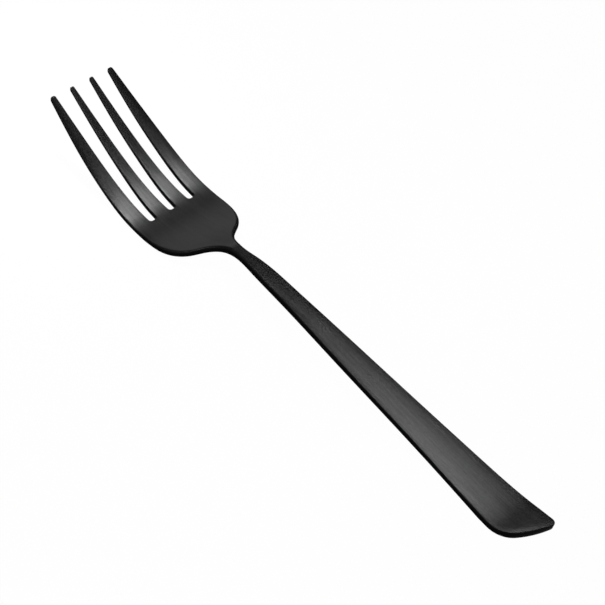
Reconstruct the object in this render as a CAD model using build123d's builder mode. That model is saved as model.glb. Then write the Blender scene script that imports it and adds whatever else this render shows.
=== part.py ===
from build123d import *
import math
import os

# Dinner fork, forged from one blank of steel, lying on its back with its tines up.
# +Y runs from the handle's end to the tine tips, X is across and Z is up.
# Lengths are in millimetres. Places along the fork are measured from the handle's end.

# Lengths: from the handle's end to the neck, on to the slot roots, and on to the tips
handle_length = 124.5
bowl_length = 29.0
tine_length = 46.5

# Widths
head_width = 30.1
handle_width = 16.2
neck_width = 4.0
tip_span = 24.9

# The handle's underside is flat between these places, and curls up before them
rest_start = 6.0
rest_stop = 16.0
curl_radius = 45.0

# The bowl's underside is flat over this length where it rests
bowl_rest_length = 3.0

# Heights of the upper face above the table
crest_height = 10.2
tip_height = 20.5

# Thickness, measured upright
handle_thickness = 2.4
bowl_thickness = 1.95
tip_thickness = 1.2

# Slots between the tines
middle_slot_root_width = 2.5
middle_slot_tip_width = 6.15
side_slot_root_width = 2.55
side_slot_tip_width = 5.8
side_slot_root_offset = 7.95
side_slot_tip_offset = 7.57

# The handle's end is cut aslant, so that its right-hand corner reaches furthest
end_middle_at = 2.64
end_slant = 28.4
end_radius = 35.0
end_zone = 15.0

# Rounding, and how far a cut or a blank runs past what it shapes
long_corner_radius = 1.5
short_corner_radius = 9.0
slot_root_radius = 0.9
outer_tip_radius = 0.7
inner_tip_radius = 0.55
rim_radius = 0.35
overrun = 5.0

# Shares of the lengths above: the crest before the neck, then places in the bowl and on the tines
crest_share = 0.94
shoulder_share = 0.81
bowl_low_share = 0.914
widest_share = 0.14

# Side view: the share along each stretch, and the share of its climb or drop made there
handle_climb_shares = ((0.12, 0.12), (0.28, 0.302), (0.6, 0.646), (0.88, 0.944), (1, 1))
neck_drop_shares = ((0.27, 0.14), (0.5, 0.52), (0.735, 0.85), (1, 1))
tine_climb_shares = ((0.145, 0.012), (0.39, 0.19), (0.675, 0.53), (1, 1))

# Plan: the share along each stretch, and the share of its change in width made there
handle_taper_shares = (
    (-0.04, -0.046),
    (0, 0),
    (0.16, 0.19),
    (0.4, 0.443),
    (0.643, 0.656),
    (0.827, 0.82),
    (0.932, 0.926),
)
shoulder_shares = ((0.147, 0.065), (0.3, 0.3), (0.412, 0.62), (0.546, 0.83), (0.723, 0.954))
outer_edge_shares = ((0.53, 0.29),)

# Slots: the share along, the share of the widening and the share of the sideways drift
slot_shares = ((0, 0, 0), (0.365, 0.34, 0.58), (0.725, 0.63, 1), (1, 1, 1))

# A face whose upright share is less than this is a side wall
wall_share = 0.3


def between(start, stop, share):
    """The value that lies a share of the way from start to stop."""
    return start + (stop - start) * share


def stretch(start, stop, shares):
    """The points of a stretch from start to stop, given as pairs of shares."""
    return [
        (between(start[0], stop[0], along), between(start[1], stop[1], across))
        for along, across in shares
    ]


def upright_thickness(along):
    """The thickness at a place along the fork: even to the neck, then thinning."""
    if along <= neck_at:
        return handle_thickness
    if along <= bowl_low_at:
        share = (along - neck_at) / (bowl_low_at - neck_at)
        return between(handle_thickness, bowl_thickness, share)
    share = (along - bowl_low_at) / (length - bowl_low_at)
    return between(bowl_thickness, tip_thickness, share)


def curl_lift(along):
    """How far the underside has curled up at a place between the end and the rest."""
    return curl_radius - math.sqrt(curl_radius**2 - (rest_start - along) ** 2)


def underside(points):
    """The points of the lower face under points of the upper face."""
    return [(along, height - upright_thickness(along)) for along, height in points]


def slot_wall(side, root_width, tip_width, root_offset, tip_offset):
    """The points of a slot's wall: side is 1 for its right wall and -1 for its left."""
    return [
        (
            between(root_offset, tip_offset, drift)
            + side * between(root_width, tip_width, widening) / 2,
            between(slot_root_at, length, along),
        )
        for along, widening, drift in slot_shares
    ]


# Places along the fork
neck_at = handle_length
slot_root_at = neck_at + bowl_length
length = slot_root_at + tine_length
crest_at = between(0, neck_at, crest_share)
shoulder_at = between(neck_at, slot_root_at, shoulder_share)
bowl_low_at = between(neck_at, slot_root_at, bowl_low_share)
widest_at = between(slot_root_at, length, widest_share)

# The plan plane looks down on the fork, and the side plane looks at it from its right
plan = Plane(origin=(0, -length / 2, 0))
side_view = Plane(origin=(0, -length / 2, 0), x_dir=(0, 1, 0), z_dir=(1, 0, 0))

# Points of the side view
end_top = (0, handle_thickness + curl_lift(0))
blank_top = (-overrun, handle_thickness + curl_lift(-overrun))
rest_tops = [(rest_start, handle_thickness), (rest_stop, handle_thickness)]
crest = (crest_at, crest_height)
bowl_top = (bowl_low_at, bowl_thickness)
tip_top = (length, tip_height)
handle_tops = stretch(rest_tops[1], crest, handle_climb_shares)
neck_tops = stretch(crest, bowl_top, neck_drop_shares)
tine_tops = stretch(bowl_top, tip_top, tine_climb_shares)
tip_low = underside([tip_top])[0]
bowl_rest_start = (bowl_low_at - bowl_rest_length / 2, 0)
bowl_rest_stop = (bowl_low_at + bowl_rest_length / 2, 0)

# Points of the right-hand edge in plan: each is a place along and a half width
handle_end = (0, handle_width / 2)
neck = (neck_at, neck_width / 2)
shoulder = (shoulder_at, head_width / 2)
widest = (widest_at, head_width / 2)
outer_tip = (length, tip_span / 2)
edge_points = [
    *stretch(handle_end, neck, handle_taper_shares),
    neck,
    *stretch(neck, shoulder, shoulder_shares),
    shoulder,
    widest,
    *stretch(widest, outer_tip, outer_edge_shares),
    outer_tip,
]
right_edge = [(across, along) for along, across in edge_points]
left_edge = [(-across, along) for along, across in edge_points]

# Width, then offset, of each slot at its root and its tip
middle_slot = (middle_slot_root_width, middle_slot_tip_width, 0, 0)
side_widths = (side_slot_root_width, side_slot_tip_width)
right_slot = (*side_widths, side_slot_root_offset, side_slot_tip_offset)
left_slot = (*side_widths, -side_slot_root_offset, -side_slot_tip_offset)

# The end of the handle is an arc about a centre that lies off to the right
end_angle = math.radians(end_slant)
end_centre = (end_radius * math.sin(end_angle), end_middle_at + end_radius * math.cos(end_angle))

# What is cut away past the arc of the handle's end
with BuildSketch() as end_waste:
    with Locations((0, end_zone)):
        Rectangle(2 * end_radius, 2 * end_radius, align=(Align.CENTER, Align.MAX))
    with Locations(end_centre):
        Circle(end_radius, mode=Mode.SUBTRACT)

with BuildPart() as fork:
    # The blank, bent to its side view
    with BuildSketch(side_view):
        with BuildLine():
            upper = Spline(blank_top, end_top, *rest_tops, *handle_tops, *neck_tops, *tine_tops)
            Line(tip_top, tip_low)
            Spline(bowl_rest_stop, *underside(tine_tops), tangents=((1, 0), upper % 1))
            Line(bowl_rest_start, bowl_rest_stop)
            handle_lows = [(rest_stop, 0), *underside(handle_tops + neck_tops[:-1]), bowl_rest_start]
            Spline(*handle_lows, tangents=((1, 0), (1, 0)))
            Line((rest_start, 0), (rest_stop, 0))
            curl = TangentArc((rest_start, 0), (-overrun, curl_lift(-overrun)), tangent=(-1, 0))
            Line(curl @ 1, upper @ 0)
        make_face()
    extrude(amount=head_width / 2 + overrun, both=True)

    # Cut to its outline, with rounded corners at the end, the slot roots and the tips
    with BuildSketch(plan) as outline:
        with BuildLine():
            right = Spline(*right_edge)
            left = Spline(*left_edge)
            Line(right @ 0, left @ 0)
            Line(right @ 1, left @ 1)
        make_face()
        add(end_waste.sketch, mode=Mode.SUBTRACT)
        for slot in (left_slot, middle_slot, right_slot):
            with BuildLine():
                right_wall = Spline(*slot_wall(1, *slot))
                left_wall = Spline(*slot_wall(-1, *slot))
                Line(right_wall @ 0, left_wall @ 0)
                Line(right_wall @ 1, left_wall @ 1)
            make_face(mode=Mode.SUBTRACT)
        fillet(outline.vertices().group_by(Axis.Y)[-2], slot_root_radius)
        tips = outline.vertices().group_by(Axis.Y)[-1]
        fillet(tips.filter_by(lambda corner: abs(corner.X) > side_slot_tip_offset), outer_tip_radius)
        tips = outline.vertices().group_by(Axis.Y)[-1]
        fillet(tips.filter_by(lambda corner: abs(corner.X) < side_slot_tip_offset), inner_tip_radius)
        fillet(outline.vertices().sort_by(Axis.Y)[0], long_corner_radius)
        end_corners = outline.vertices().filter_by(lambda corner: corner.Y < end_zone)
        fillet(end_corners.sort_by(Axis.X)[0], short_corner_radius)
    extrude(amount=tip_height + overrun, mode=Mode.INTERSECT)

    # The rims above and below the upright walls are rounded all round
    walls = fork.faces().filter_by(lambda face: abs(face.normal_at().Z) < wall_share)
    fillet(walls.edges().filter_by(Axis.Z, reverse=True), rim_radius)

fork.part.label = "fork"
os.makedirs("parts", exist_ok=True)
export_step(fork.part, "parts/fork.step")
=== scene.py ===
import math

import bmesh
import bpy
import numpy as np
from mathutils import Euler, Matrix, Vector, kdtree
from mathutils.geometry import delaunay_2d_cdt


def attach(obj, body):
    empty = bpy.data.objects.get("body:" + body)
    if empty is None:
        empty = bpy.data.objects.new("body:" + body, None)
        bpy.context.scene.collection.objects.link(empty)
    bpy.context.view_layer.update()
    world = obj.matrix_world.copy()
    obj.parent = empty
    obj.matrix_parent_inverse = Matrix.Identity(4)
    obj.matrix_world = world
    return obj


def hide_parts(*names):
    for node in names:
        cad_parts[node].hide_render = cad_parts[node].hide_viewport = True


# A black brushed dinner fork on a white table.
# The fork's own sizes are in millimetres, and its mesh turns them to metres. The finish, the
# table, the lamps and the camera are in metres. +Y runs from the handle's end to the tips, X is
# across and Z is up. Places along the fork are measured from the handle's end.

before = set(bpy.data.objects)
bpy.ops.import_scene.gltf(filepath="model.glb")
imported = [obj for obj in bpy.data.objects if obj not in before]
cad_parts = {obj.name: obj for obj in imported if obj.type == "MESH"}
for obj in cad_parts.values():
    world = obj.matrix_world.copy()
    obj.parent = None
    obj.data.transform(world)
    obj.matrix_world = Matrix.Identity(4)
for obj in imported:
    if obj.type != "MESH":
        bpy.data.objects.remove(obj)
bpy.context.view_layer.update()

MM = 0.001

# Camera: its place, its turns in degrees, and its lens and sensor in millimetres
CAMERA_PLACE = (-0.22216, -0.15998, 0.34029)
CAMERA_TURNS = (38.745, -8.530, -44.391)
CAMERA_LENS = 85.75
SENSOR_WIDTH = 36.0

# Lengths: from the handle's end to the neck, on to the slot roots, and on to the tips
HANDLE_LENGTH = 124.5
BOWL_LENGTH = 29.0
TINE_LENGTH = 46.5

# Widths
HEAD_WIDTH = 30.1
HANDLE_WIDTH = 16.2
NECK_WIDTH = 4.0
TIP_SPAN = 24.9

# The underside is flat between these places and curls up before them. It is flat in the bowl too
REST_START = 6.0
REST_STOP = 16.0
CURL_RADIUS = 45.0
BOWL_REST_LENGTH = 3.0

# Heights of the upper face above the table
CREST_HEIGHT = 10.2
TIP_HEIGHT = 20.44

# Thickness, measured upright
HANDLE_THICKNESS = 2.4
STEM_THICKNESS = 2.12
BOWL_THICKNESS = 1.95
TINE_THICKNESS = 1.35
TIP_THICKNESS = 1.2

# The handle has its stem's thickness between the first two places, and its own again at the third.
# The tines have theirs at the fourth
STEM_START = 28.0
STEM_STOP = 58.0
STEM_FADED = 95.0
TINE_MIDDLE = 178.0

# Slots between the tines: root width, tip width, then the offset at the root and at the tip
MIDDLE_SLOT = (2.5, 6.15, 0.0, 0.0)
RIGHT_SLOT = (2.55, 5.8, 7.95, 7.57)
LEFT_SLOT = (2.55, 5.8, -7.95, -7.57)

# The handle's end is cut aslant. Its corners take the edges before the end zone as straight
END_MIDDLE = 2.64
END_SLANT = 28.4
END_RADIUS = 35.0
END_ZONE = 12.0

# Rounding of the corners in plan
LONG_CORNER = 1.5
SHORT_CORNER = 9.0
ROOT_ROUNDING = 0.9
OUTER_TIP_ROUNDING = 0.7
INNER_TIP_ROUNDING = 0.55

# Shares of the lengths above: the crest before the neck, then places in the bowl and on the tines
CREST_SHARE = 0.94
SHOULDER_SHARE = 0.81
BOWL_LOW_SHARE = 0.914
WIDEST_SHARE = 0.14

# Side view: the share along each stretch, and the share of its climb or drop made there
CLIMB_SHARES = ((0.12, 0.12), (0.28, 0.302), (0.6, 0.646), (0.88, 0.944), (1, 1))
DROP_SHARES = ((0.27, 0.14), (0.5, 0.52), (0.735, 0.85), (1, 1))
TINE_SHARES = ((0.145, 0.012), (0.39, 0.19), (0.675, 0.53), (1, 1))

# Plan: the share along each stretch, and the share of its change in width made there
TAPER_SHARES = (
    (-0.04, -0.046),
    (0, 0),
    (0.16, 0.19),
    (0.4, 0.443),
    (0.643, 0.656),
    (0.827, 0.82),
    (0.932, 0.926),
)
SHOULDER_SHARES = ((0.147, 0.065), (0.3, 0.3), (0.412, 0.62), (0.546, 0.83), (0.723, 0.954))
OUTER_SHARES = ((0.53, 0.29),)

# Slots: the share along, the share of the widening and the share of the sideways drift
SLOT_SHARES = ((0, 0, 0), (0.365, 0.34, 0.58), (0.725, 0.63, 1), (1, 1, 1))

# Places along the fork
NECK_AT = HANDLE_LENGTH
ROOT_AT = NECK_AT + BOWL_LENGTH
LENGTH = ROOT_AT + TINE_LENGTH
CREST_AT = NECK_AT * CREST_SHARE
BOWL_LOW_AT = NECK_AT + BOWL_LENGTH * BOWL_LOW_SHARE
SHOULDER_AT = NECK_AT + BOWL_LENGTH * SHOULDER_SHARE
WIDEST_AT = ROOT_AT + TINE_LENGTH * WIDEST_SHARE

# The middle of the arc that cuts the handle's end
END_ANGLE = math.radians(END_SLANT)
END_CENTRE = END_RADIUS * np.array([math.sin(END_ANGLE), math.cos(END_ANGLE)]) + (0, END_MIDDLE)

# A crown across the handle's upper face, and the places between which it fades away
CROWN = 0.45
CROWN_FADE = (98.0, 120.0)

# Near its edges the upper face eases down towards the rim, over a width and by a drop
EASE_WIDTH = 1.8
EASE_DROP = 0.11

# Thickness along the fork: a place and the thickness there
THICKNESSES = (
    (REST_STOP, HANDLE_THICKNESS),
    (STEM_START, STEM_THICKNESS),
    (STEM_STOP, STEM_THICKNESS),
    (STEM_FADED, HANDLE_THICKNESS),
    (NECK_AT, HANDLE_THICKNESS),
    (BOWL_LOW_AT, BOWL_THICKNESS),
    (TINE_MIDDLE, TINE_THICKNESS),
    (LENGTH, TIP_THICKNESS),
)

# The rolled rim of the upper face: a place, its radius, and how slowly the painted shade of the
# wall spreads over it
UPPER_RIM = (
    (0.0, 0.3, 0.7),
    (90.0, 0.25, 0.7),
    (118.0, 0.5, 0.7),
    (126.0, 1.0, 0.5),
    (131.0, 1.25, 0.5),
    (136.0, 1.1, 0.5),
    (146.0, 0.4, 0.7),
    (165.0, 0.4, 1.0),
    (180.0, 0.5, 2.0),
    (192.0, 0.45, 2.0),
    (197.5, 0.28, 1.0),
    (200.0, 0.28, 1.0),
)

# Columns of that table, and the one radius of the lower face's rim
RIM_RADIUS = 1
RIM_DARKENING = 2
LOWER_RIM = 0.3

# Slight rises of the upper face: a place and a height
RISES = (
    (0.0, 0.0),
    (3.0, 0.07),
    (6.0, 0.13),
    (10.0, 0.05),
    (15.0, 0.0),
    (60.0, 0.0),
    (112.0, 0.0),
    (120.0, -0.04),
    (124.0, 0.06),
    (126.3, 0.26),
    (129.0, 0.1),
    (132.0, 0.0),
    (136.0, 0.03),
    (141.0, 0.12),
    (148.0, 0.0),
    (156.0, 0.0),
    (200.0, 0.0),
)

# How strongly the brushing shows: a place and its share there
BRUSHING = (
    (0.0, 0.3),
    (14.0, 1.0),
    (112.0, 1.0),
    (126.0, 0.3),
    (150.0, 0.3),
    (158.0, 1.0),
    (166.0, 1.0),
    (182.0, 0.25),
    (200.0, 0.25),
)

# Painted shade darkens the outer tines towards their outer edges, given for the left and the right
# tine: the place where that starts and where it is full, the width of the band and its share at
# the edge
SHADE_STARTS = (160.0, 148.0)
SHADE_STOPS = (176.0, 172.0)
SHADE_WIDTHS = (1.9, 3.2)
SHADE_SHARES = (0.95, 0.85)

# Spacing of the points: on the curves as they are drawn, on the outline by length and by turn,
# and across the faces. A corner has a number of points, and a rim a number of steps
CURVE_STEP = 0.1
EDGE_STEP = 0.45
TURN_STEP = math.radians(9)
GRID_STEP = 0.55
CORNER_POINTS = 24
RIM_STEPS = 6

# Points of the outline that are closer together than this are one point
SAME_POINT = 0.02

# Both faces end this far inside the upper rim, and the points of the grid keep clear of that
# border by a share of the grid's step
RIM_CLEARANCE = 0.1
GRID_CLEAR_SHARE = 0.6

# Meshing of the faces: triangles inside the border only, joined in pairs up to an angle
INSIDE_ONLY = 1
MESHING_PRECISION = 1e-6
JOIN_ANGLE = math.radians(40)

# Finish: colours and roughness
FACE_COLOUR = (0.049, 0.049, 0.049)
# The near-black side colour is painted shade on the walls and rims, and their roughness is their
# own matt finish
SIDE_SHADE_COLOUR = (0.003, 0.003, 0.003)
GRAZING_TINT = (0.5, 0.5, 0.5)
FACE_ROUGHNESS = (0.37, 0.425)
SIDE_ROUGHNESS = 0.5
ANISOTROPY = 0.75

# Brushing: how large its grain, streaks and clouds are along X, Y and Z, and how far each is
# broken up into finer noise
GRAIN_SIZE = (0.0003, 0.001, 0.001)
STREAK_SIZE = (0.0006, 0.014, 0.014)
CLOUD_SIZE = (0.004, 0.012, 0.012)
GRAIN_DETAIL = 4.0
STREAK_DETAIL = 2.0
CLOUD_DETAIL = 2.0
DETAIL_ROUGHNESS = 0.6

# The part of its range that one noise fills, and that a sum of two or of three fills
ONE_NOISE = (0.3, 0.7)
TWO_NOISES = (0.6, 1.4)
THREE_NOISES = (1.1, 1.9)

# How much the brushing and the clouds lighten and darken the face, and the relief's depth
BRUSHING_CONTRAST = (0.65, 1.35)
CLOUD_CONTRAST = (0.92, 1.08)
RELIEF_STRENGTH = 0.6
RELIEF_DEPTH = 0.00003

# Table
FLOOR_COLOUR = (0.9, 0.9, 0.9)
FLOOR_WHITE_SHARE = 0.985
FLOOR_RADIUS = 3.0
FLOOR_CORNERS = 96

# World: its level at the horizon and overhead, and the Z of the directions where it has dimmed
HORIZON_LEVEL = 0.2
SKY_LEVEL = 0.114
DIM_ABOVE = 0.2

# Low down on the left and at the handle's end the world is paler, by up to this level. It grows
# as the lesser of a direction's X and Y falls through the first range and its Z through the next
GLOW_LEVEL = 1.1
GLOW_REACH = (-0.3, -0.8)
GLOW_HEIGHT = (0.5, 0.25)

# Lamps: name, target, azimuth from +Y towards +X and elevation in degrees, size, power in watts
# and spread in degrees
LAMP_DISTANCE = 0.6
LAMPS = (
    ("head_softbox", (-0.010, 0.11, 0.0), 24.7, 79.2, 0.054, 0.0442, 17.5),
    ("handle_softbox", (-0.030, 0.042, 0.0), 84.5, 75.0, 0.27, 0.0824, 16.0),
    ("low_softbox", (0.0, 0.0175, 0.0), 27.9, 21.9, 0.356, 0.2276, 120.0),
)

# Sockets of a colour mix, whose names its other kinds share
MIX_FIRST = 6
MIX_SECOND = 7
MIX_RESULT = 2


# Curves


def between(start, stop, share):
    """The value that lies a share of the way from start to stop."""
    return start + (stop - start) * share


def stretch(start, stop, shares):
    """Points of a stretch from start to stop, given as pairs of shares."""
    return [
        (between(start[0], stop[0], first), between(start[1], stop[1], second))
        for first, second in shares
    ]


def smooth_step(share):
    """A share from 0 to 1 that starts and ends gently."""
    return share * share * (3 - 2 * share)


def read_table(table, along, column=1):
    """A table's value at places along the fork, in an even slope from row to row."""
    columns = np.array(table).T
    return np.interp(along, columns[0], columns[column])


def smooth_curve(points):
    """Close points of a smooth curve, a natural cubic spline, through the points given."""
    points = np.array(points, float)
    steps = np.diff(points, axis=0)
    knots = np.concatenate([[0], np.cumsum(np.linalg.norm(steps, axis=1))])
    gaps = np.diff(knots)
    slopes = steps / gaps[:, None]
    count = len(points)
    system = np.eye(count)
    bends = np.zeros_like(points)
    for i in range(1, count - 1):
        system[i, i - 1 : i + 2] = gaps[i - 1], 2 * (gaps[i - 1] + gaps[i]), gaps[i]
        bends[i] = 6 * (slopes[i] - slopes[i - 1])
    bends = np.linalg.solve(system, bends)
    at = np.linspace(0, knots[-1], int(knots[-1] / CURVE_STEP) + 2)
    span = np.clip(np.searchsorted(knots, at) - 1, 0, count - 2)
    gap = gaps[span][:, None]
    before = (knots[span + 1] - at)[:, None] / gap
    after = 1 - before
    cubic = (before**3 - before) * bends[span] + (after**3 - after) * bends[span + 1]
    return before * points[span] + after * points[span + 1] + cubic * gap**2 / 6


def arc(centre, start, stop):
    """Points of an arc from start to stop, turning left."""
    first = math.atan2(start[1] - centre[1], start[0] - centre[0])
    last = math.atan2(stop[1] - centre[1], stop[0] - centre[0])
    turn = (last - first) % math.tau
    radius = math.dist(centre, start)
    angles = first + np.linspace(0, turn, int(turn * radius / CURVE_STEP) + 2)
    return np.c_[centre[0] + radius * np.cos(angles), centre[1] + radius * np.sin(angles)]


# Side view


def curl_lift(along):
    """How far the underside has curled up at a place between the end and the rest."""
    return CURL_RADIUS - math.sqrt(CURL_RADIUS**2 - (REST_START - along) ** 2)


def underside(points):
    """The points of the lower face under points of the upper face."""
    return [(along, height - read_table(THICKNESSES, along)) for along, height in points]


def side_curves():
    """The upper and lower curves of the side view, each as places along and heights."""
    end = (0, HANDLE_THICKNESS + curl_lift(0))
    rest = [(REST_START, HANDLE_THICKNESS), (REST_STOP, HANDLE_THICKNESS)]
    crest = (CREST_AT, CREST_HEIGHT)
    bowl = (BOWL_LOW_AT, BOWL_THICKNESS)
    handle = stretch(rest[1], crest, CLIMB_SHARES)
    neck = stretch(crest, bowl, DROP_SHARES)
    tines = stretch(bowl, (LENGTH, TIP_HEIGHT), TINE_SHARES)
    upper = smooth_curve([end, *rest, *handle, *neck, *tines])

    bowl_start = (BOWL_LOW_AT - BOWL_REST_LENGTH / 2, 0)
    bowl_stop = (BOWL_LOW_AT + BOWL_REST_LENGTH / 2, 0)
    curl_places = np.linspace(0, REST_START, CORNER_POINTS)
    curl = [(along, curl_lift(along)) for along in curl_places]
    stem = smooth_curve([(REST_STOP, 0), *underside(handle + neck[:-1]), bowl_start])
    lower = np.vstack([curl, stem, smooth_curve([bowl_stop, *underside(tines)])])
    return upper, lower


# Plan


def slot_walls(slot):
    """The right and left wall of a slot, each as a curve of places across and along."""
    root_width, tip_width, root_offset, tip_offset = slot
    walls = []
    for side in (1, -1):
        points = []
        for along, widening, drift in SLOT_SHARES:
            middle = between(root_offset, tip_offset, drift)
            half = between(root_width, tip_width, widening) / 2
            points.append((middle + side * half, between(ROOT_AT, LENGTH, along)))
        walls.append(smooth_curve(points))
    return walls


def outer_edges():
    """The right and left edge of the fork, each as a curve of places across and along."""
    neck = (NECK_AT, NECK_WIDTH / 2)
    shoulder = (SHOULDER_AT, HEAD_WIDTH / 2)
    widest = (WIDEST_AT, HEAD_WIDTH / 2)
    tip = (LENGTH, TIP_SPAN / 2)
    points = [
        *stretch((0, HANDLE_WIDTH / 2), neck, TAPER_SHARES),
        neck,
        *stretch(neck, shoulder, SHOULDER_SHARES),
        shoulder,
        widest,
        *stretch(widest, tip, OUTER_SHARES),
        tip,
    ]
    right = smooth_curve([(across, along) for along, across in points])
    return right, right * (-1, 1)


def across_at(wall, along):
    """Where a wall or an edge lies across the fork, at places along it."""
    return np.interp(along, wall[:, 1], wall[:, 0])


def run_along(wall, start, stop):
    """Points along a wall, from one place along the fork to another."""
    along = np.linspace(start, stop, int(abs(stop - start) / CURVE_STEP) + 2)
    return np.c_[across_at(wall, along), along]


def corner(wall, end, side, run, radius):
    """The rounding from a wall to the straight end that it meets.

    The end lies to the right of the wall where side is 1, and to its left where side is -1. The
    wall runs forward to the end where run is 1, and back to it where run is -1.
    """
    turn = np.linspace(math.pi / 2, 0, CORNER_POINTS)
    along = end - run * radius * (1 - np.cos(turn))
    return np.c_[across_at(wall, along) + side * radius * (1 - np.sin(turn)), along]


def end_corner(edge, side, radius):
    """Where a corner's arc meets the handle's edge and its slanted end, and the arc's centre."""
    upper, lower = (np.array([across_at(edge, along), along]) for along in (END_ZONE, 0))
    way = (lower - upper) / math.dist(lower, upper)
    inward = np.array([-way[1], way[0]])
    inward *= -side * np.sign(inward[0])
    offset = END_CENTRE - upper
    reach = math.sqrt((END_RADIUS - radius) ** 2 - (offset @ inward - radius) ** 2)
    centre = upper + inward * radius + way * (offset @ way + reach)
    on_end = END_CENTRE + (centre - END_CENTRE) * END_RADIUS / (END_RADIUS - radius)
    return centre - inward * radius, on_end, centre


def full_outline():
    """The fork's outline as one closed line of close points, turning left."""
    right, left = outer_edges()
    slots = [slot_walls(slot) for slot in (RIGHT_SLOT, MIDDLE_SLOT, LEFT_SLOT)]
    walls = [right, *[wall for pair in slots for wall in pair], left]
    tines = list(zip(walls[::2], walls[1::2]))
    roundings = (OUTER_TIP_ROUNDING, INNER_TIP_ROUNDING, INNER_TIP_ROUNDING, OUTER_TIP_ROUNDING)
    right_side, right_end, right_centre = end_corner(right, 1, LONG_CORNER)
    left_side, left_end, left_centre = end_corner(left, -1, SHORT_CORNER)
    root_top = ROOT_AT + ROOT_ROUNDING
    start = right_side[1]
    path = []
    for i, ((east, west), rounding) in enumerate(zip(tines, roundings)):
        tip_start = LENGTH - rounding
        path.append(run_along(east, start, tip_start))
        path.append(corner(east, LENGTH, -1, 1, rounding))
        path.append(corner(west, LENGTH, 1, 1, rounding)[::-1])
        if i < len(tines) - 1:
            next_east = tines[i + 1][0]
            path.append(run_along(west, tip_start, root_top))
            path.append(corner(west, ROOT_AT, -1, -1, ROOT_ROUNDING))
            path.append(corner(next_east, ROOT_AT, 1, -1, ROOT_ROUNDING)[::-1])
            start = root_top
    path.append(run_along(left, tip_start, left_side[1]))
    path.append(arc(left_centre, left_side, left_end))
    path.append(arc(END_CENTRE, left_end, right_end))
    path.append(arc(right_centre, right_end, right_side))
    path = np.vstack(path)
    apart = np.linalg.norm(path - np.roll(path, 1, axis=0), axis=1)
    return path[apart > SAME_POINT]


def even_outline():
    """The outline with fewer points: closer where it turns, and evenly spread elsewhere."""
    path = full_outline()
    step = np.roll(path, -1, axis=0) - path
    heading = np.arctan2(step[:, 1], step[:, 0])
    turn = np.abs((heading - np.roll(heading, 1) + math.pi) % math.tau - math.pi)
    turn_beside = (turn + np.roll(turn, -1)) / 2
    cost = np.linalg.norm(step, axis=1) / EDGE_STEP + turn_beside / TURN_STEP
    reach = np.concatenate([[0], np.cumsum(cost)])
    marks = np.linspace(0, reach[-1], int(reach[-1]), endpoint=False)
    closed = np.vstack([path, path[:1]])
    return np.c_[np.interp(marks, reach, closed[:, 0]), np.interp(marks, reach, closed[:, 1])]


def outward(line):
    """The outward direction in plan at each point of a closed line that turns left."""
    way = np.roll(line, -1, axis=0) - np.roll(line, 1, axis=0)
    way /= np.linalg.norm(way, axis=1)[:, None]
    return np.c_[way[:, 1], -way[:, 0]]


def grid_points(outline):
    """Points of an even grid that lie well inside the outline, and how far inside each is."""
    away = outward(outline)
    tree = kdtree.KDTree(len(outline))
    for i, (across, along) in enumerate(outline):
        tree.insert((across, along, 0), i)
    tree.balance()
    points = []
    depths = []
    for along in np.arange(0, LENGTH, GRID_STEP):
        margin = read_table(UPPER_RIM, along, RIM_RADIUS) + RIM_CLEARANCE
        for across in np.arange(-HEAD_WIDTH / 2, HEAD_WIDTH / 2, GRID_STEP):
            near, i, depth = tree.find((across, along, 0))
            inside = (across - near.x) * away[i][0] + (along - near.y) * away[i][1] < 0
            if inside and depth > margin + GRID_STEP * GRID_CLEAR_SHARE:
                points.append((across, along))
                depths.append(depth)
    return np.array(points), np.array(depths)


# Mesh


class Shape:
    """The fork's two faces. A plan is an array of places across and along."""

    def __init__(self):
        self.upper, self.lower = side_curves()
        self.edge = outer_edges()[0]
        self.rises = smooth_curve(RISES)

    def top(self, plan, depth):
        """Heights of the upper face over a plan whose points lie this deep inside the outline."""
        across, along = plan.T
        fade = np.clip((CROWN_FADE[1] - along) / (CROWN_FADE[1] - CROWN_FADE[0]), 0, 1)
        half = across_at(self.edge, along)
        crown = CROWN * smooth_step(fade) * (1 - (across / half) ** 2)
        rise = np.interp(along, *self.rises.T)
        ease = EASE_DROP * np.clip(1 - depth / EASE_WIDTH, 0, 1) ** 2
        return np.interp(along, *self.upper.T) + crown + rise - ease

    def bottom(self, plan, depth):
        """Heights of the lower face over a plan, the same at any depth inside the outline."""
        return np.interp(plan[:, 1], *self.lower.T)

    def shade(self, plan):
        """How far painted shade has darkened each point towards the outer edge of an outer tine.
        """
        across, along = plan.T
        depth = across_at(self.edge, along) - np.abs(across)
        pairs = (SHADE_STARTS, SHADE_STOPS, SHADE_WIDTHS, SHADE_SHARES)
        start, stop, width, most = (np.where(across < 0, *pair) for pair in pairs)
        fade = np.clip((along - start) / (stop - start), 0, 1)
        return fade * most * np.clip(1 - depth / width, 0, 1)


def add_points(mesh, shape, plan, heights, side_and_shade_shares=0.0):
    """New vertices over a plan, with how much each belongs to the wall and takes its painted
    shade, and how brushed it is.
    """
    side_shade_of = mesh.verts.layers.float["side"]
    brushing_of = mesh.verts.layers.float["brushing"]
    # The outer tines' painted shade goes in with the wall's
    side_and_shade_shares = np.maximum(side_and_shade_shares, shape.shade(plan))
    shares = read_table(BRUSHING, plan[:, 1])
    made = []
    for (across, along), height, side, share in zip(plan, heights, side_and_shade_shares, shares):
        vert = mesh.verts.new((across * MM, (along - LENGTH / 2) * MM, height * MM))
        vert[side_shade_of] = side
        vert[brushing_of] = share
        made.append(vert)
    return made


def face_triangles(plan, border_count):
    """Triangles over a plan whose first points are the border. Each is three of its points."""
    points = [Vector(point) for point in plan]
    border = [tuple(range(border_count))]
    found = delaunay_2d_cdt(points, [], border, INSIDE_ONLY, MESHING_PRECISION)
    faces, sources = found[2], found[3]
    return [[sources[i][0] for i in face] for face in faces]


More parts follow.
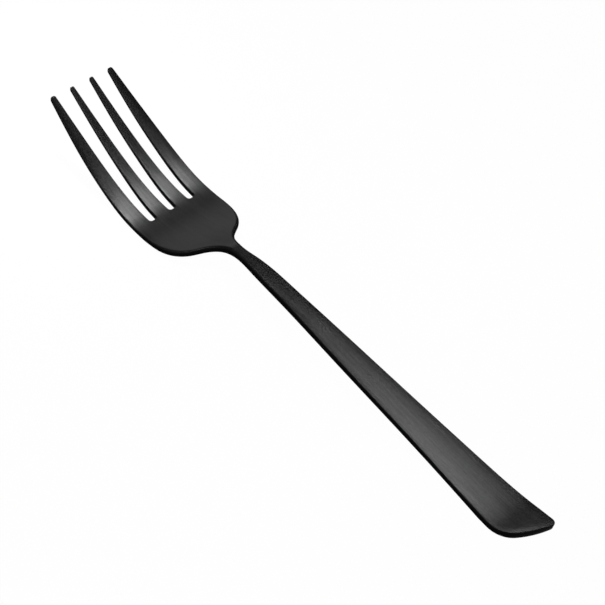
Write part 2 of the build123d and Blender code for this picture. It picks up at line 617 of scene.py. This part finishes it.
def rim_rings(mesh, shape, outline, heights_of, way, radius):
    """Rings of vertices round a rim, from its face to the wall. way is 1 upwards, -1 down."""
    away = outward(outline)
    darkening = read_table(UPPER_RIM, outline[:, 1], RIM_DARKENING)
    rings = []
    for turn in np.linspace(0, math.pi / 2, RIM_STEPS + 1):
        inset = radius * (1 - math.sin(turn))
        plan = outline - away * inset[:, None]
        heights = heights_of(plan, inset) + way * radius * (1 - math.cos(turn))
        # Across the rim the vertices take more and more of the wall's painted shade
        rings.append(add_points(mesh, shape, plan, heights, math.sin(turn) ** darkening))
    return rings


def fork_mesh():
    """The fork as one closed mesh: two faces, and a wall between two rounded rims."""
    shape = Shape()
    outline = even_outline()
    count = len(outline)
    upper_radius = read_table(UPPER_RIM, outline[:, 1], RIM_RADIUS)
    lower_radius = np.full(count, LOWER_RIM)
    inset = upper_radius + RIM_CLEARANCE
    grid, grid_depths = grid_points(outline)
    plan = np.vstack([outline - outward(outline) * inset[:, None], grid])
    depths = np.concatenate([inset, grid_depths])

    mesh = bmesh.new()
    mesh.verts.layers.float.new("side")
    mesh.verts.layers.float.new("brushing")
    grain = mesh.loops.layers.uv.new("grain")
    top = add_points(mesh, shape, plan, shape.top(plan, depths))
    bottom = add_points(mesh, shape, plan, shape.bottom(plan, depths))
    for triangle in face_triangles(plan, count):
        mesh.faces.new([top[i] for i in triangle])
        mesh.faces.new([bottom[i] for i in reversed(triangle)])

    upper_rings = rim_rings(mesh, shape, outline, shape.top, -1, upper_radius)
    lower_rings = rim_rings(mesh, shape, outline, shape.bottom, 1, lower_radius)
    rings = [top[:count], *upper_rings, *lower_rings[::-1], bottom[:count]]
    for upper, lower in zip(rings, rings[1:]):
        for i in range(count):
            j = (i + 1) % count
            mesh.faces.new((upper[i], lower[i], lower[j], upper[j]))

    for face in mesh.faces:
        face.smooth = True
        for loop in face.loops:
            loop[grain].uv = (loop.vert.co.x, loop.vert.co.y)
    bmesh.ops.join_triangles(
        mesh,
        faces=[face for face in mesh.faces if len(face.verts) == 3],
        angle_face_threshold=JOIN_ANGLE,
        angle_shape_threshold=JOIN_ANGLE,
    )
    data = bpy.data.meshes.new("fork_body")
    mesh.to_mesh(data)
    mesh.free()
    return data


# Nodes


def empty_tree(owner):
    """The node tree of a material or a world, with nothing in it."""
    owner.use_nodes = True
    owner.node_tree.nodes.clear()
    return owner.node_tree


def add_node(tree, kind, inputs=(), **settings):
    """A new node with its settings, and its inputs set to values or linked to sockets."""
    node = tree.nodes.new(kind)
    for key, value in settings.items():
        setattr(node, key, value)
    for key, value in dict(inputs).items():
        if isinstance(value, bpy.types.NodeSocket):
            tree.links.new(value, node.inputs[key])
        else:
            node.inputs[key].default_value = value
    return node


def combine(tree, operation, first, second):
    """Two values put together by an operation."""
    return add_node(tree, "ShaderNodeMath", {0: first, 1: second}, operation=operation).outputs[0]


def spread(tree, value, ends, levels, **settings):
    """A value carried over from one range to another, and kept within it."""
    inputs = {
        "Value": value,
        "From Min": ends[0],
        "From Max": ends[1],
        "To Min": levels[0],
        "To Max": levels[1],
    }
    return add_node(tree, "ShaderNodeMapRange", inputs, **settings).outputs["Result"]


def mix_values(tree, share, first, second):
    """A value that lies a share of the way from the first to the second."""
    inputs = {"Factor": share, "A": first, "B": second}
    return add_node(tree, "ShaderNodeMix", inputs).outputs[0]


def mix_colours(tree, share, first, second, way="MIX"):
    """A colour that lies a share of the way from the first to what the second makes of it."""
    inputs = {"Factor": share, MIX_FIRST: first, MIX_SECOND: second}
    mixed = add_node(tree, "ShaderNodeMix", inputs, data_type="RGBA", blend_type=way)
    return mixed.outputs[MIX_RESULT]


def noise(tree, place, size, detail):
    """Noise whose spots have a size along X, Y and Z."""
    scale = [1 / length for length in size]
    turned = add_node(tree, "ShaderNodeMapping", {"Vector": place, "Scale": scale}).outputs[0]
    inputs = {"Vector": turned, "Scale": 1.0, "Detail": detail, "Roughness": DETAIL_ROUGHNESS}
    return add_node(tree, "ShaderNodeTexNoise", inputs).outputs["Fac"]


def seen_ray(tree):
    """1 for rays that should meet the white background, and 0 for the light that falls."""
    path = add_node(tree, "ShaderNodeLightPath").outputs
    first = combine(tree, "MAXIMUM", path["Is Camera Ray"], path["Is Glossy Ray"])
    return combine(tree, "MAXIMUM", first, path["Is Transmission Ray"])


# Materials


def brushed_black():
    """Black coated steel, brushed lengthwise, with matt walls painted near-black as shade."""
    material = bpy.data.materials.new("brushed_black")
    tree = empty_tree(material)
    place = add_node(tree, "ShaderNodeTexCoord").outputs["Object"]
    side = add_node(tree, "ShaderNodeAttribute", attribute_name="side").outputs["Fac"]
    brushing = add_node(tree, "ShaderNodeAttribute", attribute_name="brushing").outputs["Fac"]

    grain = noise(tree, place, GRAIN_SIZE, GRAIN_DETAIL)
    streak = noise(tree, place, STREAK_SIZE, STREAK_DETAIL)
    cloud = noise(tree, place, CLOUD_SIZE, CLOUD_DETAIL)
    brushed = combine(tree, "ADD", grain, streak)
    mottled = combine(tree, "ADD", brushed, cloud)

    all_lines = spread(tree, brushed, TWO_NOISES, BRUSHING_CONTRAST)
    lines = mix_values(tree, brushing, 1.0, all_lines)
    level = combine(tree, "MULTIPLY", lines, spread(tree, cloud, ONE_NOISE, CLOUD_CONTRAST))
    face = mix_colours(tree, 1.0, (*FACE_COLOUR, 1), level, "MULTIPLY")
    # Painted shade: the face colour turns near-black on the walls, the rims and the outer tines'
    # edges
    colour = mix_colours(tree, side, face, (*SIDE_SHADE_COLOUR, 1))

    face_roughness = spread(tree, mottled, THREE_NOISES, FACE_ROUGHNESS)
    roughness = mix_values(tree, side, face_roughness, SIDE_ROUGHNESS)

    relief = combine(tree, "MULTIPLY", brushed, brushing)
    bump = {"Strength": RELIEF_STRENGTH, "Distance": RELIEF_DEPTH, "Height": relief}
    normal = add_node(tree, "ShaderNodeBump", bump).outputs[0]

    grain_way = {"direction_type": "UV_MAP", "uv_map": "grain"}
    tangent = add_node(tree, "ShaderNodeTangent", **grain_way).outputs[0]
    finish = {
        "Base Color": colour,
        "Metallic": 1.0,
        "Roughness": roughness,
        "Normal": normal,
        "Anisotropic": ANISOTROPY,
        "Tangent": tangent,
        "Specular Tint": (*GRAZING_TINT, 1),
    }
    shader = add_node(tree, "ShaderNodeBsdfPrincipled", finish, distribution="GGX")
    add_node(tree, "ShaderNodeOutputMaterial", {"Surface": shader.outputs[0]})
    return material


def table_white():
    """A matt white that is seen nearly as pure white, and keeps soft shadows."""
    material = bpy.data.materials.new("table_white")
    tree = empty_tree(material)
    matt = add_node(tree, "ShaderNodeBsdfDiffuse", {"Color": (*FLOOR_COLOUR, 1)}).outputs[0]
    white = {"Color": (1, 1, 1, 1), "Strength": 1.0}
    glow = add_node(tree, "ShaderNodeEmission", white).outputs[0]
    share = combine(tree, "MULTIPLY", seen_ray(tree), FLOOR_WHITE_SHARE)
    mixed = add_node(tree, "ShaderNodeMixShader", {0: share, 1: matt, 2: glow}).outputs[0]
    add_node(tree, "ShaderNodeOutputMaterial", {"Surface": mixed})
    return material


# Studio


def table_top():
    """The plain white table that the fork lies on."""
    bpy.ops.mesh.primitive_circle_add(
        vertices=FLOOR_CORNERS, radius=FLOOR_RADIUS, fill_type="NGON"
    )
    table = bpy.context.object
    table.name = "table"
    table.data.materials.append(table_white())


def studio_world():
    """A dim studio, paler near the horizon and low down on the left and at the handle's end."""
    world = bpy.data.worlds.new("studio")
    bpy.context.scene.world = world
    tree = empty_tree(world)
    way = add_node(tree, "ShaderNodeTexCoord").outputs["Generated"]
    parts = add_node(tree, "ShaderNodeSeparateXYZ", {0: way}).outputs
    gentle = {"interpolation_type": "SMOOTHSTEP"}

    levels = (HORIZON_LEVEL, SKY_LEVEL)
    level = spread(tree, parts["Z"], (0.0, DIM_ABOVE), levels, **gentle)
    behind = combine(tree, "MINIMUM", parts["X"], parts["Y"])
    glow = spread(tree, behind, GLOW_REACH, (0.0, GLOW_LEVEL), **gentle)
    low = spread(tree, parts["Z"], GLOW_HEIGHT, (0.0, 1.0), **gentle)
    total = combine(tree, "ADD", level, combine(tree, "MULTIPLY", glow, low))
    light = {"Color": (1, 1, 1, 1), "Strength": total}
    background = add_node(tree, "ShaderNodeBackground", light).outputs[0]
    add_node(tree, "ShaderNodeOutputWorld", {"Surface": background})


def softbox(name, target, azimuth, elevation, size, power, spread_angle):
    """A square lamp that hangs on one side of its target and is aimed at it."""
    data = bpy.data.lights.new(name, "AREA")
    data.size = size
    data.energy = power
    data.spread = math.radians(spread_angle)
    lamp = bpy.data.objects.new(name, data)
    bpy.context.scene.collection.objects.link(lamp)
    turn = math.radians(azimuth)
    rise = math.radians(elevation)
    level_reach = math.cos(rise)
    away = Vector((math.sin(turn) * level_reach, math.cos(turn) * level_reach, math.sin(rise)))
    lamp.location = Vector(target) + away * LAMP_DISTANCE
    lamp.rotation_euler = (-away).to_track_quat("-Z", "Y").to_euler()


def camera():
    """The camera, at the photograph's place and angle."""
    data = bpy.data.cameras.new("camera")
    data.sensor_width = SENSOR_WIDTH
    data.lens = CAMERA_LENS
    eye = bpy.data.objects.new("camera", data)
    bpy.context.scene.collection.objects.link(eye)
    eye.location = CAMERA_PLACE
    eye.rotation_euler = Euler([math.radians(turn) for turn in CAMERA_TURNS])
    bpy.context.scene.camera = eye


# The fork

body = bpy.data.objects.new("fork_body", fork_mesh())
bpy.context.scene.collection.objects.link(body)
body.data.materials.append(brushed_black())
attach(body, "root")
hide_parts("fork")

# The scene around it

table_top()
studio_world()
for lamp in LAMPS:
    softbox(*lamp)
camera()
bpy.context.scene.view_settings.view_transform = "Standard"
